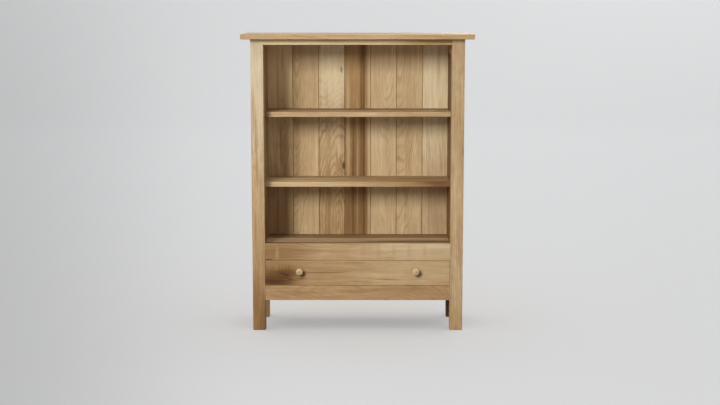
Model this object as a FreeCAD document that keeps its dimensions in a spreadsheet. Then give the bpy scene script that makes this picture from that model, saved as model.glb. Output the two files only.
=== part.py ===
import FreeCAD, Part
import os
import re
from collections import defaultdict

import Sketcher

# A pine bookcase: posts and rails with mortise-and-tenon joints, framed sides, housed
# shelves, a tongue-and-groove back and one wide dovetailed drawer.
# X runs along the width, Y from the front to the back, Z up. The origin is on the floor,
# under the middle of the top board. Sizes are in millimetres.

SIZES = (
    ("case_width", 850, "over the outer faces of the posts"),
    ("case_depth", 287, "over the front and rear faces of the posts"),
    ("post_height", 1176, "floor to the underside of the top"),
    ("post_side", 51, "side of the square post"),
    ("post_round", 2, "rounding of the post's long edges"),
    ("foot_bevel", 2, "bevel round the foot of the post"),
    ("top_thick", 20, "top board"),
    ("top_side_lip", 36, "top board past the posts, each side"),
    ("top_front_lip", 36, "top board past the posts, in front"),
    ("top_back_lip", 10, "top board past the posts, behind"),
    ("top_round", 2.5, "rounding of the top board's edges"),
    ("rail_thick", 20, "front and rear rails"),
    ("rail_round", 1, "rounding of the rails' front edges"),
    ("leg_clear", 124.5, "floor to the underside of the lowest rails"),
    ("bottom_rail_tall", 60.5, "front and side bottom rails"),
    ("drawer_opening", 104, "bottom rail to drawer rail"),
    ("drawer_rail_tall", 68, "rail above the drawer"),
    ("top_rail_tall", 22, "front and rear top rails"),
    ("rear_rail_tall", 22, "rear bottom rail"),
    ("tenon_long", 25, "every rail's tenons"),
    ("tenon_thick", 8, "tenons of the front and rear rails"),
    ("tenon_shoulder", 4, "above and below those tenons"),
    ("side_rail_thick", 28, "rails of the side frames"),
    ("side_top_rail_tall", 60, "top rail of a side frame"),
    ("side_tenon_thick", 10, "tenons of the side rails"),
    ("side_tenon_shoulder", 10, "above and below those tenons"),
    ("side_panel_thick", 20, "panel of a side frame"),
    ("panel_tongue_thick", 8, "tongue round the panel"),
    ("panel_tongue_long", 6, "tongue round the panel"),
    ("shelf_thick", 20, "shelves and compartment floor"),
    ("shelf_set_back", 57, "front of the posts to a shelf's front edge"),
    ("shelf_round", 2, "rounding of a shelf's front edges"),
    ("housing_deep", 6, "a shelf's ends let into the sides"),
    ("upper_shelf_top", 884, "height of the upper shelf's surface"),
    ("lower_shelf_top", 600.5, "height of the lower shelf's surface"),
    ("floor_board_top", 353, "height of the compartment floor's surface"),
    ("back_thick", 12, "back boards"),
    ("back_inset", 18, "back boards in from the posts' rear faces"),
    ("board_cover", 108, "width that one back board covers"),
    ("rebate_wide", 8, "rebate of the rear posts that holds the outer boards"),
    ("tongue_thick", 4, "tongue of a back board"),
    ("tongue_long", 6, "tongue of a back board"),
    ("groove_spare", 0.5, "groove deeper than its tongue is long"),
    ("vee", 2.5, "bevel at each side of a back joint"),
    ("drawer_gap", 1, "above and below the drawer front"),
    ("drawer_end_gap", 1, "at each end of the drawer front"),
    ("drawer_set_back", 0.5, "front of the posts to the drawer front"),
    ("drawer_back_room", 11.5, "closed drawer to the back boards"),
    ("front_thick", 20, "drawer front"),
    ("front_round", 1, "rounding of the drawer front's edges"),
    ("drawer_side_thick", 12, "drawer sides"),
    ("drawer_side_drop", 6, "drawer sides lower than the drawer front"),
    ("drawer_back_thick", 12, "drawer back"),
    ("drawer_bottom_thick", 5, "drawer bottom"),
    ("bottom_groove_up", 8, "lower edge of the drawer to its bottom groove"),
    ("bottom_groove_deep", 5, "bottom groove"),
    ("dovetail_lap", 6, "wood left in front of the half-blind dovetails"),
    ("pin_wide", 9, "pins between dovetails, at the dovetails' tips"),
    ("dovetail_slope", 7, "dovetails widen by one in this many"),
    ("runner_wide", 20, "runners, kickers and stops"),
    ("runner_tall", 20, "runners, kickers and stops"),
    ("runner_clearance", 0.3, "runner to the drawer side above it"),
    ("kicker_clearance", 1, "drawer side to the kicker above it"),
    ("stop_clearance", 0.5, "closed drawer to its stops"),
    ("knob_spread", 235, "middle of the drawer to each knob"),
    ("knob_up", 58.5, "lower edge of the drawer front to a knob's centre"),
    ("knob_long", 28, "knob, out from the drawer front"),
    ("knob_head", 28.5, "diameter of the knob's head"),
    ("knob_neck", 12.5, "diameter of the knob's neck"),
    ("knob_tenon", 9, "diameter of the knob's tenon through the drawer front"),
    ("knob_neck_end", 11, "drawer front to the end of the neck"),
    ("knob_rim_start", 17, "drawer front to the start of the knob's rim"),
    ("knob_rim_end", 24, "drawer front to the end of the knob's rim"),
    ("knob_face", 17, "diameter of the knob's flat face"),
    ("dowel_wide", 8, "diameter of the dowels between the top rails and the top"),
    ("dowel_long", 28, "those dowels, half in the rail and half in the top"),
    ("nail_head", 3, "side of a cut nail's square head"),
    ("nail_tip", 1.2, "side of a cut nail's tip"),
    ("back_nail_long", 28, "cut nails through the back boards"),
    ("runner_nail_long", 32, "cut nails through runners and kickers"),
    ("runner_nail_first", 80, "front of the posts to the first of them"),
    ("runner_nail_step", 120, "from the first of them to the second"),
    ("bottom_nail_long", 19, "cut nails through the drawer bottom"),
    ("bottom_nail_step", 250, "between those nails"),
)
BACK_BOARDS = 7
TAILS = 3
SIDES = (("left", -1), ("right", 1))
NAMES = {name for name, value, note in SIZES}

# Faces and edges that several pieces share, worked out from the sizes.
FRONT = "(top_front_lip - case_depth - top_back_lip) / 2"
REAR = f"({FRONT} + case_depth)"
OUTSIDE = "case_width / 2"
INSIDE = "(case_width / 2 - post_side)"
POST_BACK = f"({FRONT} + post_side)"
REAR_POST = f"({REAR} - post_side)"
BOARD_FACE = f"({REAR} - back_inset - back_thick)"
BOTTOM_RAIL_TOP = "(leg_clear + bottom_rail_tall)"
DRAWER_RAIL = f"({BOTTOM_RAIL_TOP} + drawer_opening)"
SIDE_TOP_RAIL = "(post_height - side_top_rail_tall)"
SHELF_FRONT = f"({FRONT} + shelf_set_back)"
RAIL_BACK = f"({FRONT} + rail_thick)"
SHELVES = {
    "shelf_upper": ("upper_shelf_top", SHELF_FRONT),
    "shelf_lower": ("lower_shelf_top", SHELF_FRONT),
    "floor_board": ("floor_board_top", RAIL_BACK),
}

# Faces of the closed drawer.
DRAWER_FACE = f"({FRONT} + drawer_set_back)"
DRAWER_INNER = f"({DRAWER_FACE} + front_thick)"
DRAWER_END = f"({BOARD_FACE} - drawer_back_room)"
DRAWER_BACK = f"({DRAWER_END} - drawer_back_thick)"
DRAWER_HALF = f"({INSIDE} - drawer_end_gap)"
DRAWER_SIDE = f"({DRAWER_HALF} - drawer_side_thick)"
DRAWER_LOW = f"({BOTTOM_RAIL_TOP} + drawer_gap)"
DRAWER_TOP = f"({DRAWER_RAIL} - drawer_gap)"
DRAWER_SIDE_TOP = f"({DRAWER_TOP} - drawer_side_drop)"
DRAWER_FLOOR = f"({DRAWER_LOW} + bottom_groove_up)"
DRAWER_BACK_LOW = f"({DRAWER_FLOOR} + drawer_bottom_thick)"
RUNNER_TOP = f"({DRAWER_LOW} - runner_clearance)"
KICKER = f"({DRAWER_SIDE_TOP} + kicker_clearance)"

doc = FreeCAD.newDocument("Bookcase")
sheet = doc.addObject("Spreadsheet::Sheet", "Sizes")
for row, (name, value, note) in enumerate(SIZES, start=1):
    sheet.set(f"A{row}", name)
    sheet.set(f"B{row}", str(value))
    sheet.set(f"C{row}", note)
    sheet.setAlias(f"B{row}", name)
doc.recompute()

blanks = {}                   # each piece before its joints are cut
standing = defaultdict(list)  # what stands out of a piece: tenons, tongues, dovetails
cutouts = defaultdict(list)   # what is cut into it: mortises, grooves, housings, holes


def sized(text):
    """The expression with each size's name pointed at its cell in the sheet."""
    return re.sub(r"[a-z_]+", lambda word: f"Sizes.{word[0]}" if word[0] in NAMES else word[0], text)


def measure(text):
    return float(sheet.evalExpression(sized(text)))


def bind(target, **expressions):
    for path, text in expressions.items():
        target.setExpression(path, sized(text))


def place(target, x, y, z):
    for axis, text in (("x", x), ("y", y), ("z", z)):
        target.setExpression(f"Placement.Base.{axis}", sized(text))


def mirrored(sign, near, far):
    """The lower and upper X of what lies between two distances from the middle, on one side."""
    if sign > 0:
        return near, far
    return f"-({far})", f"-({near})"


def block(name, x, y, z):
    """A box between a lower and an upper face each way, used to cut or to add a joint."""
    box = doc.addObject("Part::Box", name)
    for length, (low, high) in (("Length", x), ("Width", y), ("Height", z)):
        bind(box, **{length: f"({high}) - ({low})"})
    place(box, x[0], y[0], z[0])
    return box


def outline(body, plane, corners):
    """A closed sketch on one of the body's own planes, its corners held at worked-out places."""
    sketch = body.newObject("Sketcher::SketchObject", f"{body.Name}_outline")
    origin_plane = next(part for part in body.Origin.OriginFeatures if part.Role == plane)
    sketch.AttachmentSupport = (origin_plane, [""])
    sketch.MapMode = "FlatFace"
    points = [FreeCAD.Vector(measure(u), measure(v), 0) for u, v in corners]
    for start, end in zip(points, points[1:] + points[:1]):
        sketch.addGeometry(Part.LineSegment(start, end))
    for index, (corner, point) in enumerate(zip(corners, points)):
        following = (index + 1) % len(corners)
        sketch.addConstraint(Sketcher.Constraint("Coincident", index, 2, following, 1))
        for kind, text, value in (("DistanceX", corner[0], point.x), ("DistanceY", corner[1], point.y)):
            held = sketch.addConstraint(Sketcher.Constraint(kind, index, 1, value))
            sketch.setExpression(f"Constraints[{held}]", sized(text))
    return sketch


def padded(name, plane, corners, length):
    """A body padded from an outline on one of its planes."""
    body = doc.addObject("PartDesign::Body", name)
    pad = body.newObject("PartDesign::Pad", f"{name}_pad")
    pad.Profile = outline(body, plane, corners)
    bind(pad, Length=length)
    doc.recompute()
    return body


def turned(name, corners, direction):
    """A body turned from a half outline of radius and distance, pointing along a direction."""
    body = doc.addObject("PartDesign::Body", name)
    profile = outline(body, "XZ_Plane", corners)
    turn = body.newObject("PartDesign::Revolution", f"{name}_turn")
    turn.Profile = profile
    turn.ReferenceAxis = (profile, ["V_Axis"])
    turn.Angle = 360
    rotation = FreeCAD.Rotation(FreeCAD.Vector(0, 0, 1), FreeCAD.Vector(*direction))
    body.Placement = FreeCAD.Placement(FreeCAD.Vector(0, 0, 0), rotation)
    doc.recompute()
    return body


def board(name, x, y, z):
    """A planed board between a lower and an upper face each way, with its corner at its origin."""
    length = f"({x[1]}) - ({x[0]})"
    width = f"({y[1]}) - ({y[0]})"
    corners = (("0", "0"), (length, "0"), (length, width), ("0", width))
    body = padded(name, "XY_Plane", corners, f"({z[1]}) - ({z[0]})")
    place(body, x[0], y[0], z[0])
    blanks[name] = body
    return body


def dress(body, kind, chosen, size, value):
    """A fillet or chamfer along the chosen edges of a body."""
    plain = body.Tip
    names = [f"Edge{number}" for number, edge in enumerate(plain.Shape.Edges, start=1) if chosen(edge)]
    finish = body.newObject(f"PartDesign::{kind}", f"{body.Name}_{kind.lower()}")
    finish.Base = (plain, names)
    bind(finish, **{size: value})
    doc.recompute()


def upright(edge):
    return edge.BoundBox.ZLength > edge.BoundBox.DiagonalLength - 1e-6


def level(edge):
    return edge.BoundBox.ZLength < 1e-6


def at_front(edge):
    return abs(edge.BoundBox.YMax) < 1e-6


def along_front(edge):
    return at_front(edge) and edge.BoundBox.XLength > edge.BoundBox.DiagonalLength - 1e-6


def at_foot(edge):
    return abs(edge.BoundBox.ZMax) < 1e-6


def joint(name, x, y, z, tenon_of, into):
    """A tenon or tongue on one piece and the same shape cut out of the pieces that take it."""
    shape = block(name, x, y, z)
    standing[tenon_of].append(shape)
    for piece in into:
        cutouts[piece].append(shape)


def wedge(name, x, y, z, x_far, z_far):
    """A tapering block: x and z are its faces at the lower Y, x_far and z_far at the upper Y."""
    taper = doc.addObject("Part::Wedge", name)
    bind(taper, Xmin=x[0], Xmax=x[1], Ymin=y[0], Ymax=y[1], Zmin=z[0], Zmax=z[1])
    bind(taper, X2min=x_far[0], X2max=x_far[1], Z2min=z_far[0], Z2max=z_far[1])
    return taper


def nail(name, long, direction, x, y, z):
    """A square cut nail whose head is at the given place."""
    head = ("-nail_head / 2", "nail_head / 2")
    tip = ("-nail_tip / 2", "nail_tip / 2")
    body = wedge(name, head, ("0", long), head, tip, tip)
    rotation = FreeCAD.Rotation(FreeCAD.Vector(0, 1, 0), FreeCAD.Vector(*direction))
    body.Placement = FreeCAD.Placement(FreeCAD.Vector(0, 0, 0), rotation)
    place(body, x, y, z)
    return body


def group(name, members):
    """Like fasteners kept together as separate solids."""
    kept = doc.addObject("Part::Compound", name)
    kept.Links = members
    blanks[name] = kept
    return kept


def make_top():
    half = f"({OUTSIDE} + top_side_lip)"
    across = (f"{FRONT} - top_front_lip", f"{REAR} + top_back_lip")
    top = board("top_board", (f"-{half}", half), across, ("post_height", "post_height + top_thick"))
    dress(top, "Fillet", level, "Radius", "min(top_round; top_thick * 0.4)")


def make_posts():
    faces = {"front": (FRONT, POST_BACK), "rear": (REAR_POST, REAR)}
    for end, across in faces.items():
        for side, sign in SIDES:
            post = board(f"{end}_post_{side}", mirrored(sign, INSIDE, OUTSIDE), across, ("0", "post_height"))
            dress(post, "Fillet", upright, "Radius", "post_round")
            dress(post, "Chamfer", at_foot, "Size", "foot_bevel")


def make_cross_rails():
    """Rails between the posts, at the front and at the rear, each with a tenon at both ends."""
    front = (FRONT, RAIL_BACK)
    rear = (f"{BOARD_FACE} - rail_thick", BOARD_FACE)
    top = ("post_height - top_rail_tall", "post_height")
    rails = (
        ("front_top_rail", "front", front, top),
        ("drawer_rail", "front", front, (DRAWER_RAIL, f"{DRAWER_RAIL} + drawer_rail_tall")),
        ("bottom_rail", "front", front, ("leg_clear", BOTTOM_RAIL_TOP)),
        ("rear_top_rail", "rear", rear, top),
        ("rear_bottom_rail", "rear", rear, ("leg_clear", "leg_clear + rear_rail_tall")),
    )
    for name, end, across, height in rails:
        rail = board(name, (f"-{INSIDE}", INSIDE), across, height)
        if end == "front":
            dress(rail, "Fillet", along_front, "Radius", "rail_round")
        cheek = f"{across[0]} + (rail_thick - tenon_thick) / 2"
        for side, sign in SIDES:
            joint(
                f"{name}_tenon_{side}",
                mirrored(sign, INSIDE, f"{INSIDE} + tenon_long"),
                (cheek, f"{cheek} + tenon_thick"),
                (f"{height[0]} + tenon_shoulder", f"{height[1]} - tenon_shoulder"),
                name,
                [f"{end}_post_{side}"],
            )


def make_side_frames():
    """Top and bottom rails between a front and a rear post, round a tongued panel."""
    long = (POST_BACK, REAR_POST)
    cheek = f"{INSIDE} + (side_rail_thick - side_tenon_thick) / 2"
    tongue = f"{INSIDE} + (side_panel_thick - panel_tongue_thick) / 2"
    for side, sign in SIDES:
        rails = (
            # the tenons keep clear of the rear rails' tenons, which meet the same posts
            ("bottom", "leg_clear", BOTTOM_RAIL_TOP, "leg_clear + rear_rail_tall + tenon_shoulder",
             f"{BOTTOM_RAIL_TOP} - side_tenon_shoulder"),
            ("top", SIDE_TOP_RAIL, "post_height", f"{SIDE_TOP_RAIL} + side_tenon_shoulder",
             "post_height - top_rail_tall - tenon_shoulder"),
        )
        thick = mirrored(sign, cheek, f"{cheek} + side_tenon_thick")
        for level, low, high, tenon_low, tenon_high in rails:
            name = f"side_{level}_rail_{side}"
            board(name, mirrored(sign, INSIDE, f"{INSIDE} + side_rail_thick"), long, (low, high))
            tenon = (tenon_low, tenon_high)
            front = (f"{POST_BACK} - tenon_long", POST_BACK)
            rear = (REAR_POST, f"{REAR_POST} + tenon_long")
            joint(f"{name}_tenon_front", thick, front, tenon, name, [f"front_post_{side}"])
            joint(f"{name}_tenon_rear", thick, rear, tenon, name, [f"rear_post_{side}"])
        panel = f"side_panel_{side}"
        thick = mirrored(sign, INSIDE, f"{INSIDE} + side_panel_thick")
        board(panel, thick, long, (BOTTOM_RAIL_TOP, SIDE_TOP_RAIL))
        joint(
            f"{panel}_tongue",
            mirrored(sign, tongue, f"{tongue} + panel_tongue_thick"),
            (f"{long[0]} - panel_tongue_long", f"{long[1]} + panel_tongue_long"),
            (f"{BOTTOM_RAIL_TOP} - panel_tongue_long", f"{SIDE_TOP_RAIL} + panel_tongue_long"),
            panel,
            [f"front_post_{side}", f"rear_post_{side}", f"side_bottom_rail_{side}", f"side_top_rail_{side}"],
        )


def make_shelves():
    """Shelves and compartment floor, with their ends housed in the sides."""
    half = f"({INSIDE} + housing_deep)"
    for name, (top, front) in SHELVES.items():
        across = (front, BOARD_FACE)
        height = (f"{top} - shelf_thick", top)
        shelf = board(name, (f"-{half}", half), across, height)
        if front == SHELF_FRONT:
            dress(shelf, "Fillet", along_front, "Radius", "shelf_round")
        for side, sign in SIDES:
            housing = block(f"{name}_housing_{side}", mirrored(sign, INSIDE, half), across, height)
            for piece in (f"front_post_{side}", f"side_panel_{side}", f"rear_post_{side}"):
                cutouts[piece].append(housing)


def make_back():
    """Upright boards, each with a tongue that fills the next one's groove, in the posts' rebates."""
    edge = f"({INSIDE} + rebate_wide)"
    tongue_front = "(back_thick - tongue_thick) / 2"
    tongue_back = "(back_thick + tongue_thick) / 2"
    height = ("leg_clear", "post_height")
    for side, sign in SIDES:
        rebate = block(f"rebate_{side}", mirrored(sign, INSIDE, edge), (BOARD_FACE, REAR), height)
        cutouts[f"rear_post_{side}"].append(rebate)
    for number in range(BACK_BOARDS):
        first = number == 0
        last = number == BACK_BOARDS - 1
        left = f"-{edge}" if first else f"board_cover * {number - BACK_BOARDS / 2}"
        right = edge if last else f"board_cover * {number + 1 - BACK_BOARDS / 2}"
        wide = f"({right}) - ({left})"
        if first:
            corners = [("0", "back_thick"), ("0", "0")]
        else:
            deep = "tongue_long + groove_spare"
            corners = [("0", "back_thick"), ("0", tongue_back), (deep, tongue_back), (deep, tongue_front)]
            corners += [("0", tongue_front), ("0", "vee"), ("vee", "0")]
        if last:
            corners += [(wide, "0"), (wide, "back_thick")]
        else:
            reach = f"{wide} + tongue_long"
            corners += [(f"{wide} - vee", "0"), (wide, "vee"), (wide, tongue_front), (reach, tongue_front)]
            corners += [(reach, tongue_back), (wide, tongue_back), (wide, "back_thick")]
        name = f"back_board_{number + 1}"
        body = padded(name, "XY_Plane", corners, "post_height - leg_clear")
        place(body, left, BOARD_FACE, "leg_clear")
        blanks[name] = body


def make_runners():
    """Strips on each side that carry, hold down and stop the drawer."""
    strips = {
        "runner": ((RAIL_BACK, BOARD_FACE), (f"{RUNNER_TOP} - runner_tall", RUNNER_TOP)),
        "kicker": ((POST_BACK, BOARD_FACE), (KICKER, f"{KICKER} + runner_tall")),
        "stop": ((f"{DRAWER_END} + stop_clearance", BOARD_FACE), (RUNNER_TOP, f"{RUNNER_TOP} + runner_tall")),
    }
    for side, sign in SIDES:
        thick = mirrored(sign, f"{INSIDE} - runner_wide", INSIDE)
        for strip, (long, height) in strips.items():
            board(f"drawer_{strip}_{side}", thick, long, height)


def dovetails(corner, side, sign, low, high, base, tip, inward):
    """Tails of a drawer side and the sockets that they fill in the board across its end.

    inward is True where the tails point to the front, so that their tips are at the lower Y.
    """
    pitch = f"(({high}) - ({low})) / {TAILS}"
    spread = f"abs(({tip}) - ({base})) / dovetail_slope"
    thick = mirrored(sign, DRAWER_SIDE, DRAWER_HALF)
    for number in range(TAILS):
        middle = f"{low} + {pitch} * {number + 0.5}"
        half_tip = f"({pitch} - pin_wide) / 2"
        half_base = f"({half_tip} - {spread})"
        wide = (f"{middle} - {half_tip}", f"{middle} + {half_tip}")
        narrow = (f"{middle} - {half_base}", f"{middle} + {half_base}")
        name = f"{corner}_tail_{side}_{number + 1}"
        if inward:
            tail = wedge(name, thick, (tip, base), wide, thick, narrow)
        else:
            tail = wedge(name, thick, (base, tip), narrow, thick, wide)
        standing[f"drawer_side_{side}"].append(tail)
        cutouts[corner].append(tail)


def make_drawer():
    """Front, sides, back and bottom: lapped dovetails in front, through dovetails behind."""
    across = (f"-{DRAWER_HALF}", DRAWER_HALF)
    front = board("drawer_front", across, (DRAWER_FACE, DRAWER_INNER), (DRAWER_LOW, DRAWER_TOP))
    dress(front, "Fillet", at_front, "Radius", "front_round")
    board("drawer_back", across, (DRAWER_BACK, DRAWER_END), (DRAWER_BACK_LOW, DRAWER_SIDE_TOP))

    groove_half = f"({DRAWER_SIDE} + bottom_groove_deep)"
    groove_front = f"({DRAWER_INNER} - bottom_groove_deep)"
    groove = (DRAWER_FLOOR, DRAWER_BACK_LOW)
    board("drawer_bottom", (f"-{groove_half}", groove_half), (groove_front, DRAWER_END), groove)
    groove_across = (f"-{groove_half}", groove_half)
    groove_deep = (groove_front, DRAWER_INNER)
    cutouts["drawer_front"].append(block("front_groove", groove_across, groove_deep, groove))

    long = f"{DRAWER_END} - {DRAWER_INNER}"
    shoulder = f"{DRAWER_BACK} - {DRAWER_INNER}"
    tall = f"{DRAWER_SIDE_TOP} - {DRAWER_LOW}"
    step = f"{DRAWER_BACK_LOW} - {DRAWER_LOW}"
    corners = (("0", "0"), (long, "0"), (long, step), (shoulder, step), (shoulder, tall), ("0", tall))
    tail_tip = f"{DRAWER_FACE} + dovetail_lap"
    for side, sign in SIDES:
        name = f"drawer_side_{side}"
        plate = padded(name, "YZ_Plane", corners, "drawer_side_thick")
        place(plate, mirrored(sign, DRAWER_SIDE, DRAWER_HALF)[0], DRAWER_INNER, DRAWER_LOW)
        blanks[name] = plate
        dovetails("drawer_front", side, sign, DRAWER_LOW, DRAWER_SIDE_TOP, DRAWER_INNER, tail_tip, True)
        dovetails("drawer_back", side, sign, DRAWER_BACK_LOW, DRAWER_SIDE_TOP, DRAWER_BACK, DRAWER_END, False)
        deep = mirrored(sign, DRAWER_SIDE, groove_half)
        cutouts[name].append(block(f"side_groove_{side}", deep, (tail_tip, DRAWER_END), groove))


def make_knobs():
    """Two turned knobs, each with a round tenon glued through the drawer front."""
    corners = (
        ("0", "-front_thick"),
        ("knob_tenon / 2", "-front_thick"),
        ("knob_tenon / 2", "0"),
        ("knob_neck / 2", "0"),
        ("knob_neck / 2", "knob_neck_end"),
        ("knob_head / 2", "knob_rim_start"),
        ("knob_head / 2", "knob_rim_end"),
        ("knob_face / 2", "knob_long"),
        ("0", "knob_long"),
    )
    for side, sign in SIDES:
        knob = turned(f"knob_{side}", corners, (0, -1, 0))
        place(knob, f"{sign} * knob_spread", DRAWER_FACE, f"{DRAWER_LOW} + knob_up")
        blanks[f"knob_{side}"] = knob
        cutouts["drawer_front"].append(knob)


def make_top_dowels():
    """Dowels between the front and rear top rails and the top board."""
    dowels = []
    rails = {"front_top_rail": f"{FRONT} + rail_thick / 2", "rear_top_rail": f"{BOARD_FACE} - rail_thick / 2"}
    for rail, y in rails.items():
        for side, sign in SIDES:
            dowel = doc.addObject("Part::Cylinder", f"{rail}_dowel_{side}")
            bind(dowel, Radius="dowel_wide / 2", Height="dowel_long")
            # in line with a joint of the back, midway between two rows of nails
            x = f"{sign} * board_cover * {BACK_BOARDS / 2 - 1}"
            place(dowel, x, y, "post_height - dowel_long / 2")
            dowels.append(dowel)
    kept = group("top_dowels", dowels)
    for piece in ("top_board", *rails):
        cutouts[piece].append(kept)


def make_runner_nails():
    """Nails that hold the runners and kickers to the side frames."""
    nails = []
    levels = {"runner": f"{RUNNER_TOP} - runner_tall / 2", "kicker": f"{KICKER} + runner_tall / 2"}
    for side, sign in SIDES:
        x = f"{sign} * ({INSIDE} - runner_wide)"
        for strip, z in levels.items():
            for number in range(2):
                y = f"{FRONT} + runner_nail_first + {number} * runner_nail_step"
                name = f"{strip}_nail_{side}_{number + 1}"
                nails.append(nail(name, "runner_nail_long", (sign, 0, 0), x, y, z))
    kept = group("runner_nails", nails)
    for side, sign in SIDES:
        for piece in ("drawer_runner", "drawer_kicker", "side_panel", "side_bottom_rail"):
            cutouts[f"{piece}_{side}"].append(kept)


def make_bottom_nails():
    """Nails up through the drawer's bottom into its back."""
    nails = []
    y = f"{DRAWER_END} - drawer_back_thick / 2"
    for number in range(3):
        x = f"{number - 1} * bottom_nail_step"
        nails.append(nail(f"bottom_nail_{number + 1}", "bottom_nail_long", (0, 0, 1), x, y, DRAWER_FLOOR))
    kept = group("drawer_bottom_nails", nails)
    for piece in ("drawer_bottom", "drawer_back"):
        cutouts[piece].append(kept)


def make_back_nails():
    """Nails through the middle of each back board, into every shelf and rail in front of it."""
    rows = {name: f"{top} - shelf_thick / 2" for name, (top, front) in SHELVES.items()}
    rows["rear_top_rail"] = "post_height - top_rail_tall / 2"
    rows["rear_bottom_rail"] = "leg_clear + rear_rail_tall / 2"
    nails = []
    y = f"{BOARD_FACE} + back_thick"
    for piece, z in rows.items():
        for number in range(BACK_BOARDS):
            x = f"board_cover * {number - (BACK_BOARDS - 1) / 2}"
            nails.append(nail(f"{piece}_nail_{number + 1}", "back_nail_long", (0, -1, 0), x, y, z))
    kept = group("back_nails", nails)
    for piece in rows:
        cutouts[piece].append(kept)
    for number in range(BACK_BOARDS):
        cutouts[f"back_board_{number + 1}"].append(kept)


def joined(name, members):
    whole = doc.addObject("Part::MultiFuse", name)
    whole.Shapes = members
    return whole


def finished(name):
    """The piece with its tenons and tails added and its mortises, grooves and holes cut."""
    piece = blanks[name]
    if standing[name]:
        piece = joined(f"{name}_jointed", [piece] + standing[name])
    if cutouts[name]:
        tools = cutouts[name]
        tool = tools[0] if len(tools) == 1 else joined(f"{name}_waste", tools)
        cut = doc.addObject("Part::Cut", f"{name}_cut")
        cut.Base = piece
        cut.Tool = tool
        piece = cut
    blanks[name].Label = f"{name}_blank"
    piece.Label = name
    return piece


make_top()
make_posts()
make_cross_rails()
make_side_frames()
make_shelves()
make_back()
make_runners()
make_drawer()
make_knobs()
make_top_dowels()
make_runner_nails()
make_bottom_nails()
make_back_nails()
pieces = [finished(name) for name in blanks]
doc.recompute()

failed = [item.Name for item in doc.Objects if {"Invalid", "Error"} & set(item.State)]
if failed:
    raise RuntimeError(f"failed to recompute: {', '.join(failed)}")
for piece in pieces:
    if piece.Shape.isNull() or not piece.Shape.isValid() or not piece.Shape.Solids:
        raise RuntimeError(f"{piece.Label} has no valid solid")
    if piece.TypeId != "Part::Compound" and len(piece.Shape.Solids) != 1:
        raise RuntimeError(f"{piece.Label} is {len(piece.Shape.Solids)} solids")

os.makedirs("parts", exist_ok=True)
for piece in pieces:
    piece.Shape.exportStep(f"parts/{piece.Label}.step")
print(f"{len(pieces)} pieces written")
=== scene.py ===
import math

import bmesh
import bpy
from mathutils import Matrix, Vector


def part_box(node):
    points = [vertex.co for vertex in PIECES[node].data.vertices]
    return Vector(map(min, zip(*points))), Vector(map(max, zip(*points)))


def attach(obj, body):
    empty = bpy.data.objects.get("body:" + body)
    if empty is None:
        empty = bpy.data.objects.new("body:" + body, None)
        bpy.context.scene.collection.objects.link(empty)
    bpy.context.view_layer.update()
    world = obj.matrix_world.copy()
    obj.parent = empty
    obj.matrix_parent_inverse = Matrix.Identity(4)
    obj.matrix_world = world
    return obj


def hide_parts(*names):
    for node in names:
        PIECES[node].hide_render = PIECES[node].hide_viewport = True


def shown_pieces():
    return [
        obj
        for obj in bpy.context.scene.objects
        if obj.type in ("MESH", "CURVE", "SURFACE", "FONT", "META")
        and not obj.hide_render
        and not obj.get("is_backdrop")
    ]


# A bookcase of planed, waxed boards with one drawer. X runs along the width, Y from the front
# to the back and Z up, in metres, with the origin on the floor. The figure of the wood is
# written in millimetres, and MM turns it into metres.
MM = 0.001

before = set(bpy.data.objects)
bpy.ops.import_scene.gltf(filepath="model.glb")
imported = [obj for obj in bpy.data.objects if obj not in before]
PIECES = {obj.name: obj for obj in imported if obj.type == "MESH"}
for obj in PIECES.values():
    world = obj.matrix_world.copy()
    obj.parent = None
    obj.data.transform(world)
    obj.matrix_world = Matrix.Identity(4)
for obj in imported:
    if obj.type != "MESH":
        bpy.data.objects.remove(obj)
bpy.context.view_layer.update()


# ---------------------------------------------------------------- nodes and meshes

def linear(red, green, blue):
    """The colour of a paint card, given in 0 to 255, as the light that it gives back."""
    def channel(value):
        share = value / 255
        return share / 12.92 if share <= 0.04045 else ((share + 0.055) / 1.055) ** 2.4
    return (channel(red), channel(green), channel(blue), 1.0)


def cleared(owner):
    """The node tree of a material or of the world, with nothing in it."""
    owner.use_nodes = True
    owner.node_tree.nodes.clear()
    return owner.node_tree


def node(tree, kind, inputs, **settings):
    """A new node; an input is linked where it is given a socket, and set where it is given a value."""
    made = tree.nodes.new(kind)
    for name, value in settings.items():
        setattr(made, name, value)
    for name, value in inputs.items():
        socket = made.inputs[name]
        if isinstance(value, bpy.types.NodeSocket):
            tree.links.new(value, socket)
        else:
            socket.default_value = value
    return made


def reckon(tree, operation, first, second=0.0, third=0.0, clamp=False):
    """One sum on numbers."""
    inputs = {0: first, 1: second, 2: third}
    return node(tree, "ShaderNodeMath", inputs, operation=operation, use_clamp=clamp).outputs[0]


def reckon_place(tree, operation, first, second=(0, 0, 0)):
    """One sum on places."""
    made = node(tree, "ShaderNodeVectorMath", {0: first, 1: second}, operation=operation)
    return made.outputs["Value"] if operation == "LENGTH" else made.outputs[0]


def parts(tree, place):
    """The X, Y and Z of a place."""
    return node(tree, "ShaderNodeSeparateXYZ", {0: place}).outputs


def object_place(tree):
    """Where a point of the piece lies, in metres from the origin."""
    return node(tree, "ShaderNodeTexCoord", {}).outputs["Object"]


def mixed(tree, share, first, second, blend="MIX"):
    """Two colours mixed by a share."""
    inputs = {0: share, 6: first, 7: second}
    return node(tree, "ShaderNodeMix", inputs, data_type="RGBA", blend_type=blend).outputs[2]


def stretch(tree, value, low, high, to_low=0.0, to_high=1.0):
    """A number taken from one range to another, and held within it."""
    inputs = {0: value, 1: low, 2: high, 3: to_low, 4: to_high}
    return node(tree, "ShaderNodeMapRange", inputs).outputs[0]


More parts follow.
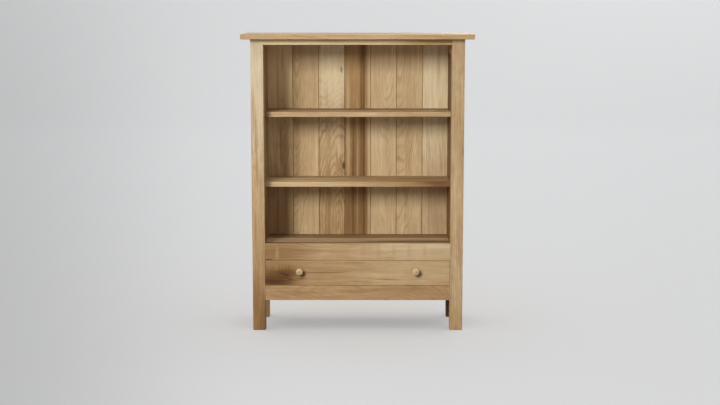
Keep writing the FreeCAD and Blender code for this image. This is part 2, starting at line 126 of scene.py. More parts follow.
def cloud(tree, place, seed, often, detail, roughness):
    """Smooth random tone from 0 to 1, which changes so often a metre along X, Y and Z."""
    inputs = {"Vector": reckon_place(tree, "MULTIPLY", place, often), "W": seed, "Scale": 1.0}
    inputs |= {"Detail": detail, "Roughness": roughness}
    return node(tree, "ShaderNodeTexNoise", inputs, noise_dimensions="4D").outputs["Fac"]


def swing(tree, place, seed, kind):
    """The same as a cloud, but as much below 0 as above."""
    return reckon(tree, "SUBTRACT", cloud(tree, place, seed, *kind), 0.5)


def new_group(name, inputs, outputs):
    """An empty node group, and the sockets of what it is given and of its result."""
    tree = bpy.data.node_groups.new(name, "ShaderNodeTree")
    for names, way in ((inputs, "INPUT"), (outputs, "OUTPUT")):
        for label, kind in names.items():
            tree.interface.new_socket(label, in_out=way, socket_type=f"NodeSocket{kind}")
    given = tree.nodes.new("NodeGroupInput").outputs
    result = tree.nodes.new("NodeGroupOutput").inputs
    return tree, given, result


def smooth_piece(name, mesh):
    """A new piece from a bmesh that is done with, shaded smooth."""
    for face in mesh.faces:
        face.smooth = True
    data = bpy.data.meshes.new(name)
    mesh.to_mesh(data)
    mesh.free()
    piece = bpy.data.objects.new(name, data)
    bpy.context.scene.collection.objects.link(piece)
    return piece


# ---------------------------------------------------------------- figure of the wood

# how often each figure changes in a metre along, across and through the board, then how much
# finer detail it has and how rough that is
SWAY = ((2.2, 11, 11), 3.0, 0.45)
HAIR_FIBRE = ((14, 700, 700), 3.0, 0.6)
FINE_FIBRE = ((10, 230, 230), 3.0, 0.6)
BROAD_FIBRE = ((2.6, 70, 70), 3.0, 0.6)
DRIFT = ((2.4, 20, 20), 2.0, 0.5)
RIBBON = ((26, 42, 42), 3.0, 0.55)
OUTLINE = ((7, 90, 90), 4.0, 0.65)
# how much each kind of fibre counts
FIBRES = ((HAIR_FIBRE, 0.28), (FINE_FIBRE, 0.40), (BROAD_FIBRE, 0.32))
RIBBON_SHARE = 0.55
# the range that each random tone mostly keeps to
FIBRE_RANGE = (0.37, 0.63)
DRIFT_RANGE = (0.32, 0.68)
# the higher, the narrower the dark late wood of a year
LATE_WOOD = 2.6
# how strongly the faintest year shows beside the strongest
FAINTEST_YEAR = 0.35
# how far the most ragged outline wanders, in reaches of the patch
RAGGED_REACH = 4.0


def rings_of(tree, given):
    """Growth rings about a leaning heart, some years stronger than others."""
    apart = parts(tree, given["Place"])
    sway = swing(tree, given["Place"], given["Seed"], SWAY)
    sway = reckon(tree, "MULTIPLY", sway, given["Wander"])
    across = reckon(tree, "SUBTRACT", apart["Y"], given["Heart Across"])
    deep = reckon(tree, "SUBTRACT", apart["Z"], given["Heart Deep"])
    deep = reckon(tree, "MULTIPLY_ADD", apart["X"], given["Lean"], deep)
    squares = reckon(tree, "MULTIPLY_ADD", across, across, reckon(tree, "MULTIPLY", deep, deep))
    away = reckon(tree, "ADD", reckon(tree, "SQRT", squares), sway)
    away = reckon(tree, "ADD", away, given["Push"])
    years = reckon(tree, "DIVIDE", away, given["Ring"])
    wave = reckon(tree, "SINE", reckon(tree, "MULTIPLY", years, 2 * math.pi))
    late = reckon(tree, "POWER", reckon(tree, "MULTIPLY_ADD", wave, 0.5, 0.5), LATE_WOOD)
    year = {"W": reckon(tree, "FLOOR", years)}
    strength = node(tree, "ShaderNodeTexWhiteNoise", year, noise_dimensions="1D").outputs["Value"]
    strength = stretch(tree, strength, 0.0, 1.0, FAINTEST_YEAR, 1.0)
    return reckon(tree, "MULTIPLY", late, strength)


def fibre_of(tree, given):
    """Fibres and pores, from hair-thin to broad."""
    fibre = 0.0
    for kind, weight in FIBRES:
        layer = cloud(tree, given["Place"], given["Seed"], *kind)
        fibre = reckon(tree, "MULTIPLY_ADD", layer, weight, fibre)
    return stretch(tree, fibre, *FIBRE_RANGE)


def drift_of(tree, given):
    """Slow changes of tone along the board, with short ribbons across them."""
    drift = cloud(tree, given["Place"], given["Seed"], *DRIFT)
    ribbon = swing(tree, given["Place"], given["Seed"], RIBBON)
    drift = reckon(tree, "MULTIPLY_ADD", ribbon, RIBBON_SHARE, drift)
    return stretch(tree, drift, *DRIFT_RANGE)


def grain_group():
    """The figure of a sawn board: its rings, its fibre and its drift, each from 0 to 1.

    Place is along the grain in X, across the board in Y and through it in Z, in metres.
    """
    sockets = {"Place": "Vector", "Seed": "Float", "Heart Across": "Float", "Heart Deep": "Float"}
    sockets |= {"Lean": "Float", "Ring": "Float", "Wander": "Float", "Push": "Float"}
    figures = {"Rings": rings_of, "Fibre": fibre_of, "Drift": drift_of}
    tree, given, result = new_group("grain", sockets, dict.fromkeys(figures, "Float"))
    for label, figure in figures.items():
        tree.links.new(figure(tree, given), result[label])
    return tree


def patch_group():
    """How far a place lies inside a soft-edged oval, whose outline follows the grain unevenly."""
    sockets = {"Place": "Vector", "Seed": "Float", "Middle": "Vector", "Reach": "Vector"}
    sockets |= {"Ragged": "Float", "Edge": "Float"}
    tree, given, result = new_group("patch", sockets, {"Inside": "Float"})
    offset = reckon_place(tree, "SUBTRACT", given["Place"], given["Middle"])
    offset = reckon_place(tree, "DIVIDE", offset, given["Reach"])
    uneven = swing(tree, given["Place"], given["Seed"], OUTLINE)
    uneven = reckon(tree, "MULTIPLY", uneven, RAGGED_REACH)
    far = reckon_place(tree, "LENGTH", offset)
    far = reckon(tree, "MULTIPLY_ADD", uneven, given["Ragged"], far)
    fall = reckon(tree, "POWER", reckon(tree, "MAXIMUM", far, 0.0), given["Edge"])
    inside = reckon(tree, "EXPONENT", reckon(tree, "MULTIPLY", fall, -1.0))
    tree.links.new(inside, result["Inside"])
    return tree


GRAIN = grain_group()
PATCH = patch_group()


# ---------------------------------------------------------------- wood

MILK = linear(238, 220, 186)
IVORY = linear(228, 216, 187)
VANILLA = linear(246, 228, 188)
LINEN = linear(242, 220, 178)
BUTTER = linear(247, 218, 167)
WHEAT = linear(230, 205, 160)
CREAM = linear(226, 205, 168)
PALE = linear(212, 186, 145)
STRAW = linear(202, 172, 129)
GOLD = linear(194, 158, 106)
TAN = linear(190, 158, 115)
FAWN = linear(177, 144, 101)
AMBER = linear(178, 136, 82)
HONEY = linear(163, 129, 86)
BROWN = linear(144, 108, 66)
RUST = linear(134, 90, 42)
NUT = linear(122, 87, 48)
UMBER = linear(98, 65, 33)
HEART = linear(82, 49, 17)
CHECK = linear(40, 24, 10)
# the tones that late wood and pores are darkened with
RING = linear(190, 160, 122)
PORES = linear(200, 184, 160)
PORE_STRENGTH = 0.38

# how far the fibre counts in a board's tone, where its drift makes up the rest
FIBRE_SHARE = 0.45
# the same for the relief of the surface, where the rings make up the rest
FIBRE_RELIEF = 0.6
RELIEF_DEPTH = 0.4 * MM
RELIEF_STRENGTH = 0.35
# roughness of the boards and of the knobs, and how far it runs below and above that
WAXED = 0.55
POLISHED = 0.38
GLOSS_RANGE = (-0.05, 0.08)
SHEEN = 0.22

# deeper than any board, for a mark that goes right through
THROUGH = 1000
# the width of a back board from joint to joint, in metres, and how dark its joints are
BOARD_COVER = (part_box("back_board_4")[0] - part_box("back_board_3")[0]).x
JOINT_SHADE = 0.55
# how far from a joint that shade begins and is full, in mm
SHADE_EDGE = (1.8, 0.5)

AXES = {"X": 0, "Y": 1, "Z": 2}
# the axes that a board's grain, width and thickness lie along
STANDING = ("Z", "X", "Y")       # grain upright, face to the front
STANDING_SIDE = ("Z", "Y", "X")  # grain upright, face to the side
LYING = ("X", "Y", "Z")          # grain along the width, face upwards
LYING_FRONT = ("X", "Z", "Y")    # grain along the width, face to the front
RUNNING = ("Y", "Z", "X")        # grain from front to back, face to the side


class Wood:
    """One board's material, built up from its grain and then its marks."""

    def __init__(self, name, lie, seed, light, dark, cut):
        self.material = bpy.data.materials.new(f"{name}_wood")
        self.tree = cleared(self.material)
        self.seed = seed
        self.lie = lie
        self.light = light
        self.dark = dark
        *self.log, self.contrast = cut
        self.low, self.high = (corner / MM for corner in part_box(name))
        self.middle = (self.low + self.high) / 2
        centre = tuple(self.middle * MM)
        apart = parts(self.tree, reckon_place(self.tree, "SUBTRACT", object_place(self.tree), centre))
        turned = {index: apart[axis] for index, axis in enumerate(lie)}
        self.place = node(self.tree, "ShaderNodeCombineXYZ", turned).outputs[0]
        self.marks = []
        self.bends = []

    def spot(self, *place):
        """A place on the board from its middle, where it is given in mm on the bookcase."""
        return tuple((value - self.middle[AXES[axis]]) * MM for value, axis in zip(place, self.lie))

    def inside(self, along, across, long, wide, ragged=0.5, seed=0.0, deep=None, edge=3.0):
        """The share of an oval on the board, through its whole thickness or in from one face.

        All in mm: its middle along and across the grain, and how far it reaches both ways.
        deep gives the face and how far in from it. The higher the edge, the sharper it is.
        """
        face, reach = deep or (self.middle[AXES[self.lie[2]]], THROUGH)
        given = {"Place": self.place, "Seed": self.seed + seed, "Ragged": ragged, "Edge": edge}
        given["Middle"] = self.spot(along, across, face)
        given["Reach"] = (long * MM, wide * MM, reach * MM)
        return node(self.tree, "ShaderNodeGroup", given, node_tree=PATCH).outputs["Inside"]

    def bend(self, along, across, long, wide, far):
        """The rings pushed aside round a place, as they flow round a knot."""
        inside = self.inside(along, across, long, wide, ragged=0.0)
        self.bends.append(reckon(self.tree, "MULTIPLY", inside, far * MM))

    def mark(self, colour, strength, *where, **more):
        """A stain, streak or knot of another colour, on an oval as given to inside."""
        self.marks.append((colour, strength, self.inside(*where, **more)))

    def joint_shade(self):
        """Dust and shade that settle in the bevels of the joints between back boards."""
        half = BOARD_COVER / 2
        apart = parts(self.tree, self.place)
        across = reckon(self.tree, "ADD", apart["Y"], self.middle.x * MM - half)
        from_joint = reckon(self.tree, "PINGPONG", across, half)
        shade = stretch(self.tree, from_joint, *(edge * MM for edge in SHADE_EDGE))
        self.marks.append((UMBER, JOINT_SHADE, shade))

    def grain(self):
        """The board's rings, fibre and drift, with the rings bent where they are pushed."""
        heart_across, heart_deep, lean, ring, wander = self.log
        push = 0.0
        for bend in self.bends:
            push = reckon(self.tree, "ADD", bend, push)
        given = {"Place": self.place, "Seed": self.seed, "Lean": lean, "Push": push}
        given |= {"Heart Across": heart_across * MM, "Heart Deep": heart_deep * MM}
        given |= {"Ring": ring * MM, "Wander": wander * MM}
        figure = node(self.tree, "ShaderNodeGroup", given, node_tree=GRAIN).outputs
        return figure["Rings"], figure["Fibre"], figure["Drift"]

    def finish(self, roughness=WAXED):
        """The board's material: its grain, the marks over it and the pores over all."""
        tree = self.tree
        rings, fibre, drift = self.grain()
        share = reckon(tree, "MULTIPLY", fibre, FIBRE_SHARE)
        share = reckon(tree, "MULTIPLY_ADD", drift, 1 - FIBRE_SHARE, share, clamp=True)
        colour = mixed(tree, share, self.light, self.dark)
        rings_shown = reckon(tree, "MULTIPLY", rings, self.contrast)
        colour = mixed(tree, rings_shown, colour, RING, "MULTIPLY")
        for tone, strength, inside in self.marks:
            amount = reckon(tree, "MULTIPLY", inside, strength, clamp=True)
            colour = mixed(tree, amount, colour, tone)
        pores = reckon(tree, "MULTIPLY", fibre, PORE_STRENGTH)
        colour = mixed(tree, pores, colour, PORES, "MULTIPLY")
        relief = reckon(tree, "MULTIPLY", rings, 1 - FIBRE_RELIEF)
        relief = {"Height": reckon(tree, "MULTIPLY_ADD", fibre, FIBRE_RELIEF, relief)}
        relief |= {"Distance": RELIEF_DEPTH, "Strength": RELIEF_STRENGTH}
        bump = node(tree, "ShaderNodeBump", relief).outputs[0]
        gloss = stretch(tree, fibre, 0.0, 1.0, *(roughness + more for more in GLOSS_RANGE))
        inputs = {"Base Color": colour, "Roughness": gloss, "Normal": bump}
        inputs["Specular IOR Level"] = SHEEN
        surface = node(tree, "ShaderNodeBsdfPrincipled", inputs).outputs[0]
        node(tree, "ShaderNodeOutputMaterial", {"Surface": surface})
        return self.material


# which way each board lies; the others stand with their face to the front
LIES = {
    "top_board": LYING,
    "shelf": LYING,
    "floor_board": LYING,
    "drawer_bottom": LYING,
    "front_top_rail": LYING_FRONT,
    "drawer_rail": LYING_FRONT,
    "bottom_rail": LYING_FRONT,
    "rear_top_rail": LYING_FRONT,
    "rear_bottom_rail": LYING_FRONT,
    "drawer_front": LYING_FRONT,
    "drawer_back": LYING_FRONT,
    "side_panel": STANDING_SIDE,
    "side_top_rail": RUNNING,
    "side_bottom_rail": RUNNING,
    "drawer_side": RUNNING,
    "drawer_runner": RUNNING,
    "drawer_kicker": RUNNING,
    "drawer_stop": RUNNING,
    "knob": RUNNING,
}

# How a board was cut from its log: heart across and deep from the board's middle in mm, lean of
# the heart, width of a year and wander of the rings in mm, then how strongly the rings show.
RIFT = (55, 60, 0.03, 4.6, 26, 0.42)
FLAT = (14, 60, 0.05, 3.8, 42, 0.42)
SKEWED = (-38, 50, 0.09, 4.4, 52, 0.48)
STRAIGHT = (70, 60, 0.02, 3.6, 14, 0.25)
ARCHED = (24, 58, -0.24, 8.6, 95, 0.80)
CALM = (60, 90, 0.02, 6.0, 20, 0.30)

# light tone, dark tone and cut of each board, or of each kind of board
BOARDS = {
    "top_board": (STRAW, FAWN, RIFT),
    "front_top_rail": (WHEAT, TAN, RIFT),
    "front_post": (PALE, HONEY, RIFT),
    "rear_post_left": (FAWN, BROWN, RIFT),
    "rear_post_right": (HONEY, NUT, RIFT),
    "rear_top_rail": (TAN, HONEY, FLAT),
    "rear_bottom_rail": (FAWN, BROWN, FLAT),
    "side_top_rail": (TAN, HONEY, RIFT),
    "side_bottom_rail": (FAWN, BROWN, RIFT),
    "side_panel_left": (TAN, HONEY, FLAT),
    "side_panel_right": (FAWN, BROWN, FLAT),
    "shelf": (PALE, FAWN, RIFT),
    "floor_board": (PALE, TAN, RIFT),
    "back_board_1": (WHEAT, FAWN, FLAT),
    "back_board_2": (WHEAT, STRAW, SKEWED),
    "back_board_3": (WHEAT, HONEY, ARCHED),
    "back_board_4": (GOLD, BROWN, RIFT),
    "back_board_5": (WHEAT, STRAW, FLAT),
    "back_board_6": (WHEAT, TAN, SKEWED),
    "back_board_7": (LINEN, STRAW, CALM),
    "drawer_rail": (STRAW, HONEY, RIFT),
    "drawer_front": (STRAW, HONEY, STRAIGHT),
    "bottom_rail": (TAN, HONEY, FLAT),
    "drawer_side": (PALE, FAWN, FLAT),
    "drawer_back": (PALE, TAN, FLAT),
    "drawer_bottom": (STRAW, FAWN, FLAT),
    "drawer_runner": (STRAW, HONEY, FLAT),
    "drawer_kicker": (TAN, HONEY, FLAT),
    "drawer_stop": (STRAW, HONEY, FLAT),
    "top_dowels": (HONEY, BROWN, CALM),
    "knob": (CREAM, TAN, CALM),
}
# the step that gives each piece a log of its own
SEED_STEP = 3.7


def described(table, name, otherwise=None):
    """The entry for a piece, or for the kind of piece that its name starts with."""
    return next((entry for start, entry in table.items() if name.startswith(start)), otherwise)


def board(name):
    """The wood of a named piece, before its marks."""
    light, dark, cut = described(BOARDS, name)
    seed = SEED_STEP * sorted(PIECES).index(name)
    return Wood(name, described(LIES, name, STANDING), seed, light, dark, cut)


def dressed(piece, material):
    """The material alone on a piece."""
    slots = piece.data.materials
    slots.clear()
    slots.append(material)


# ---------------------------------------------------------------- marks of each board

# Each mark has its tone and strength, then its place and reach along and across the grain in mm,
# how ragged it is, and a number that gives it another outline than its neighbours.

def left_post(timber):
    """Cream at the top, darker and redder towards the foot, with a wavy streak half way."""
    timber.mark(IVORY, 0.62, 1120, -400, 360, 60)
    timber.mark(CREAM, 0.45, 850, -390, 150, 12)
    timber.mark(FAWN, 0.60, 900, -416, 90, 7, 0.3)
    timber.mark(HONEY, 0.60, 800, -406, 90, 3, 0.4, 1)
    timber.mark(HONEY, 0.50, 650, -402, 50, 5, 0.5, 2)
    timber.mark(HONEY, 0.45, 560, -386, 80, 8, 0.4, 3)
    timber.mark(HONEY, 0.48, 300, -395, 190, 60)
    timber.mark(BROWN, 0.45, 420, -412, 120, 4, 0.5, 4)
    timber.mark(RUST, 0.72, 30, -400, 190, 70, 0.3)
    timber.mark(UMBER, 0.48, 10, -378, 110, 22)
    timber.bend(700, -398, 70, 18, 12)


def right_post(timber):
    """A little paler at the top and half way, a little darker at the foot."""
    timber.mark(CREAM, 0.16, 1120, 400, 220, 60)
    timber.mark(FAWN, 0.45, 800, 400, 150, 18)
    timber.mark(PALE, 0.40, 540, 400, 130, 60)
    timber.mark(HONEY, 0.30, 30, 400, 160, 60)


def rear_post_left(timber):
    """Brown on the front of its foot, for the shade under the case."""
    timber.mark(BROWN, 0.70, 60, -395, 160, 80, 0.2, deep=(timber.low.y, 10))


def rear_post_right(timber):
    """Very dark on the front of its foot, for the shade under the case."""
    timber.mark(HEART, 0.92, 60, 395, 160, 80, 0.2, deep=(timber.low.y, 10))


def front_top_rail(timber):
    """Pale, with a milky line along it, and brown at the right end."""
    timber.mark(WHEAT, 0.80, -290, 1165, 170, 20)
    timber.mark(MILK, 0.60, -120, 1157, 330, 5, 0.2)
    timber.mark(WHEAT, 0.60, 80, 1165, 170, 20)
    timber.mark(AMBER, 0.75, 300, 1165, 150, 16, 0.3)
    timber.mark(NUT, 0.50, 330, 1166, 90, 6, 0.3)


def top_board(timber):
    """Paler here and there, with two darker lines along the front edge."""
    front = timber.low.y
    timber.mark(PALE, 0.45, -330, 0, 140, 90)
    timber.mark(CREAM, 0.23, 40, front, 190, 60)
    timber.mark(PALE, 0.14, 360, -60, 180, 200)
    timber.mark(HONEY, 0.45, -60, front, 420, 40, 0.25, 3, deep=(timber.high.z - 9, 2.2))
    timber.mark(HONEY, 0.40, 60, front, 460, 40, 0.25, 4, deep=(timber.low.z, 2.0))


def shelf_corner(timber):
    """The left post's shade, painted on the left end of a shelf."""
    timber.mark(UMBER, 0.70, -374, -60, 19, 90, 0.10, 8)


def upper_shelf(timber):
    """Painted shade, in brown over the rear half, with a pale line where that begins."""
    shelf_corner(timber)
    timber.mark(PALE, 0.28, -80, -60, 200, 60)
    # painted shade over the rear half of the top, under the board above
    timber.mark(BROWN, 0.68, 0, 130, 900, 98, 0.06, edge=9)
    timber.mark(CREAM, 0.35, -40, 14, 500, 12, 0.10, 1)


def lower_shelf(timber):
    """Pale at the left, with dark heartwood at the right end and a little painted shade over the rear.
    """
    shelf_corner(timber)
    timber.mark(PALE, 0.60, -240, -75, 190, 90)
    # a little painted shade over the rear of the top
    timber.mark(HONEY, 0.30, 0, 130, 900, 64, 0.06, edge=9)
    timber.mark(CREAM, 0.50, -200, 44, 260, 17, 0.10, 2)
    timber.mark(BROWN, 0.48, 190, 6, 190, 60, 0.20, 3)
    timber.mark(BROWN, 0.95, 298, -70, 126, 40, 0.3)
    timber.mark(HEART, 0.85, 298, -88, 62, 22, 0.4, deep=(timber.high.z - 1, 8))
    timber.mark(HEART, 0.50, 345, -76, 45, 14, 0.6, 6)
    timber.mark(CREAM, 0.50, -270, -26, 140, 26, 0.15, 5)
    timber.mark(FAWN, 0.50, 150, -60, 120, 40)
    timber.mark(UMBER, 0.70, 300, 44, 110, 20, 0.25, 4)


def floor_board(timber):
    """Darker towards the back and along the rail, for the shade there."""
    timber.mark(NUT, 0.62, 0, 128, 1200, 96, 0.05, edge=12)
    timber.mark(UMBER, 0.80, 0, 124, 1200, 14, 0.10, 1)
    timber.mark(UMBER, 0.45, 0, 44, 1200, 9, 0.12, 2)
    timber.mark(FAWN, 0.40, -60, 0, 320, 26, 0.12, 5)
    timber.mark(UMBER, 0.80, 0, -90, 1200, 24, 0.06, 3, edge=8)
    timber.mark(UMBER, 0.80, 240, -52, 250, 24, 0.15, 4, edge=5)


def left_panel(timber):
    """Darker low down, on the face towards the compartments."""
    timber.mark(UMBER, 0.80, 400, -60, 130, 90, 0.2, deep=(timber.high.x, 9))


def right_panel(timber):
    """Dark all over the face towards the compartments, as wood and shade are there."""
    timber.mark(UMBER, 0.90, 1000, 20, 420, 200, 0.2, deep=(timber.low.x, 9))
    timber.mark(NUT, 0.80, 500, 20, 420, 200, 0.2, deep=(timber.low.x, 9))


def board_one(timber):
    """Buttery at the top and browner lower down, with thin dark streaks."""
    timber.mark(BUTTER, 0.85, 1060, -320, 220, 90, 0.2)
    timber.mark(HONEY, 0.85, 400, -320, 190, 90, 0.2)
    timber.mark(WHEAT, 0.22, 600, -279, 480, 13, 0.1, 1)
    timber.mark(UMBER, 0.40, 1085, -312, 60, 3, 0.3, 2)
    timber.mark(NUT, 0.35, 960, -332, 120, 5, 0.4, 3)
    timber.mark(NUT, 0.35, 730, -322, 110, 4, 0.4, 4)
    timber.mark(NUT, 0.40, 450, -336, 120, 4, 0.4, 5)
    timber.mark(NUT, 0.30, 480, -302, 90, 3, 0.4, 6)


def board_two(timber):
    """Browner down its left edge, partly the soft edge of the left post's shadow painted in, with a
    soft streak beside it.
    """
    timber.mark(HONEY, 0.30, 760, -232, 420, 20, 0.4)
    timber.mark(BROWN, 0.25, 700, -252, 220, 10, 0.4)
    # painted shade: the soft edge of the left post's shadow, down the board's left edge
    timber.mark(BROWN, 0.40, 760, -262, 600, 16, 0.12, 3, edge=2)


def board_three(timber):
    """Very pale at the top, with arches that flow round a knot lower down."""
    timber.mark(VANILLA, 0.79, 1040, -100, 200, 90, 0.2)
    timber.mark(AMBER, 0.25, 450, -100, 170, 90, 0.2)
    timber.mark(STRAW, 0.50, 700, -112, 60, 32, 0.35, 1)
    timber.mark(BROWN, 0.55, 640, -72, 40, 18, 0.4)
    timber.mark(HEART, 0.90, 645, -59, 16, 6, 0.2)
    timber.mark(NUT, 0.65, 1044, -68, 12, 5, 0.2)
    timber.bend(643, -60, 60, 26, 22)
    timber.bend(1044, -68, 40, 20, 10)


def board_four(timber):
    """Bands of dark heartwood from top to bottom, between pale sapwood edges."""
    timber.mark(GOLD, 0.55, 1040, 0, 210, 70, 0.2, 11)
    timber.mark(HONEY, 0.25, 430, 0, 260, 90, 0.2)
    timber.mark(WHEAT, 0.75, 760, 49, 700, 10, 0.15)
    timber.mark(WHEAT, 0.55, 800, -40, 260, 8, 0.25)
    timber.mark(NUT, 0.62, 620, 21, 620, 17, 0.25)
    timber.mark(UMBER, 0.70, 560, 26, 560, 4, 0.20, 1, edge=6)
    timber.mark(UMBER, 0.50, 900, 14, 260, 3, 0.20, 9, edge=6)
    timber.mark(TAN, 0.50, 860, 34, 240, 2.5, 0.20, 10, edge=6)
    timber.mark(NUT, 0.66, 560, -16, 330, 11, 0.25, 3)
    timber.mark(UMBER, 0.60, 480, -20, 300, 4, 0.25, 4)
    timber.mark(STRAW, 0.60, 560, -1, 330, 3, 0.25, 5)
    timber.mark(UMBER, 0.60, 1130, 22, 90, 14, 0.3, 6)
    timber.mark(NUT, 0.50, 430, -38, 120, 12, 0.3, 7)
    timber.mark(NUT, 0.40, 420, 0, 110, 60, 0.2, 8)


def board_five(timber):
    """A paler patch half way up."""
    timber.mark(CREAM, 0.28, 720, 108, 170, 90, 0.2)


def board_six(timber):
    """Paler near the top and the foot."""
    timber.mark(WHEAT, 0.32, 1030, 216, 200, 90, 0.2)
    timber.mark(WHEAT, 0.15, 430, 216, 190, 90, 0.2)


def board_seven(timber):
    """The palest board, with a tan streak at the top and a darker foot."""
    timber.mark(VANILLA, 0.92, 1000, 320, 290, 80)
    timber.mark(TAN, 0.42, 1060, 334, 95, 8, 0.3, 2)
    timber.mark(TAN, 0.50, 420, 330, 170, 70)
    timber.mark(FAWN, 0.40, 460, 300, 120, 5, 0.5, 1)


def drawer_rail(timber):
    """Brown at the left end, with a crack in its lower corner, faint ripples and a painted top-edge
    highlight.
    """
    joint = timber.low.z
    timber.mark(BROWN, 0.75, -350, 315, 160, 60, 0.3)
    timber.mark(TAN, 0.60, -325, 318, 7, 26, 0.1)
    timber.mark(NUT, 0.40, -190, 328, 220, 5, 0.4)
    timber.mark(HEART, 0.95, -362, joint - 0.5, 21, 6.0, 0.1, edge=4)
    timber.mark(UMBER, 0.70, -250, joint, 80, 3, 0.2, 2)
    timber.mark(CREAM, 0.42, 270, 328, 230, 40)
    timber.mark(CREAM, 0.40, 330, 350, 70, 12)
    # a painted highlight along the top edge, where it catches the light
    timber.mark(CREAM, 0.35, 130, 349, 120, 14)
    for number in range(6):
        timber.mark(FAWN, 0.35, -40 + 62 * number, 322, 8, 30, 0.15, number)


def dark_knot(timber):
    """The knot at the drawer's left end: its stain, fine ripples over it and open checks."""
    timber.mark(BROWN, 0.85, -325, 236, 105, 60, 0.30)
    timber.mark(RUST, 0.80, -320, 222, 80, 34, 0.30)
    timber.mark(HEART, 0.68, -350, 210, 76, 32, 0.40)
    timber.mark(HEART, 0.62, -288, 236, 42, 18, 0.45, 1)
    timber.mark(HEART, 0.90, -345, 201, 78, 16, 0.50, 2)
    for number, along in enumerate((-366, -352, -341, -318, -304, -290, -277)):
        step = number % 3
        timber.mark(UMBER, 0.42, along, 250 - 3 * step, 3.2, 18 + 4 * step, 0.20, number)
    for number in range(3):
        timber.mark(CHECK, 0.80, -306 + 11 * number, 234 - 3 * number, 8, 2.4, 0.15)
        timber.mark(CHECK, 0.75, -298 + 14 * number, 219 - 4 * number, 11, 2.2, 0.15, 4)
    timber.mark(CHECK, 0.70, -232, 214, 18, 1.8, 0.15, 5)


def drawer_front(timber):
    """A dark knot at the left end, thin streaks, and the shade of each turned knob, painted in."""
    timber.mark(PALE, 0.42, 220, 240, 300, 60)
    timber.mark(HONEY, 0.45, -190, 225, 150, 60, 0.2)
    dark_knot(timber)
    for along in (-224, 246):
        timber.mark(UMBER, 0.78, along, 231, 15.5, 15, 0.08, edge=4)
    timber.mark(NUT, 0.75, -135, 238, 80, 2.6, 0.3)
    timber.mark(NUT, 0.70, 116, 210, 55, 2.4, 0.3)
    timber.bend(-335, 228, 95, 34, 20)


def bottom_rail(timber):
    """A faint pale patch, a faint brown one, and rings bent aside between them."""
    timber.mark(STRAW, 0.15, 20, 160, 160, 40)
    timber.mark(BROWN, 0.12, 310, 155, 130, 50)
    timber.bend(190, 140, 120, 30, 20)


def knob_face(timber):
    """End grain, a little darker, on the flat of a knob's face."""
    timber.mark(HONEY, 0.50, timber.low.y, timber.middle.z, 5, 7.5, 0.1, deep=(timber.middle.x, 7.5))


MARKS = {
    "front_post_left": left_post,
    "front_post_right": right_post,
    "rear_post_left": rear_post_left,
    "rear_post_right": rear_post_right,
    "front_top_rail": front_top_rail,
    "top_board": top_board,
    "shelf_upper": upper_shelf,
    "shelf_lower": lower_shelf,
    "floor_board": floor_board,
    "side_panel_left": left_panel,
    "side_panel_right": right_panel,
    "back_board_1": board_one,
    "back_board_2": board_two,
    "back_board_3": board_three,
    "back_board_4": board_four,
    "back_board_5": board_five,
    "back_board_6": board_six,
    "back_board_7": board_seven,
    "drawer_rail": drawer_rail,
    "drawer_front": drawer_front,
    "bottom_rail": bottom_rail,
}


# ---------------------------------------------------------------- nails

DARK_STEEL = linear(96, 92, 88)
BRIGHT_STEEL = linear(150, 146, 140)
MOTTLE = ((900, 900, 900), 3.0, 0.6)
MOTTLE_SEED = 3600.0
STEEL_ROUGHNESS = (0.38, 0.6)


def make_steel():
    """Cut nails: dark, dull, with a mottled scale."""
    material = bpy.data.materials.new("nail_steel")
    tree = cleared(material)
    mottle = cloud(tree, object_place(tree), MOTTLE_SEED, *MOTTLE)
    colour = mixed(tree, mottle, DARK_STEEL, BRIGHT_STEEL)
    roughness = stretch(tree, mottle, 0.2, 0.8, *STEEL_ROUGHNESS)
    inputs = {"Base Color": colour, "Metallic": 1.0, "Roughness": roughness}
    surface = node(tree, "ShaderNodeBsdfPrincipled", inputs).outputs[0]
    node(tree, "ShaderNodeOutputMaterial", {"Surface": surface})
    return material


def dress_pieces():
    """Each piece of the case and of the drawer in its own wood, and the nails in steel."""
    steel = make_steel()
    for name, piece in PIECES.items():
        if name.endswith("nails"):
            dressed(piece, steel)
            continue
        timber = board(name)
        if name in MARKS:
            MARKS[name](timber)
        if name.startswith("back_board"):
            timber.joint_shade()
        dressed(piece, timber.finish())


# ---------------------------------------------------------------- knobs

# how far a knob stands out from the drawer's face, in mm
KNOB_OUT = 28
# a knob's outline: half its width, and how far out from the drawer's face that is
KNOB_OUTLINE = [
    (0, -19.9), (4.5, -19.9), (4.5, 0),                         # tenon
    (7.1, 0), (6.3, 2.2), (6.1, 7), (6.7, 11), (9.4, 14.6),     # foot and neck
    (12.9, 16.6), (14.2, 19), (14.25, 22.2), (13.4, 24.6),      # rim
    (10.4, 26.9), (8.2, 27.9), (4, KNOB_OUT), (0, KNOB_OUT),    # face
]
KNOB_STEPS = 40
# points closer together than this are one
SAME_POINT = 0.01 * MM


def turned_knob(name):
    """A small knob with a waisted neck, a rounded rim and a flat face, turned round Y."""
    low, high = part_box(name)
    middle = (low + high) / 2
    drawer_face = low.y + KNOB_OUT * MM
    mesh = bmesh.new()
    points = []
    for wide, out in KNOB_OUTLINE:
        points.append(mesh.verts.new((middle.x, drawer_face - out * MM, middle.z + wide * MM)))
    outline = points + [mesh.edges.new(pair) for pair in zip(points, points[1:])]
    bmesh.ops.spin(
        mesh,
        geom=outline,
        cent=middle,
        axis=(0, 1, 0),
        angle=2 * math.pi,
        steps=KNOB_STEPS,
        use_merge=True,
    )
    bmesh.ops.remove_doubles(mesh, verts=mesh.verts, dist=SAME_POINT)
    bmesh.ops.recalc_face_normals(mesh, faces=mesh.faces)
    piece = smooth_piece(f"turned_{name}", mesh)
    rounding = piece.modifiers.new("rounding", "SUBSURF")
    rounding.levels = rounding.render_levels = 1
    return piece


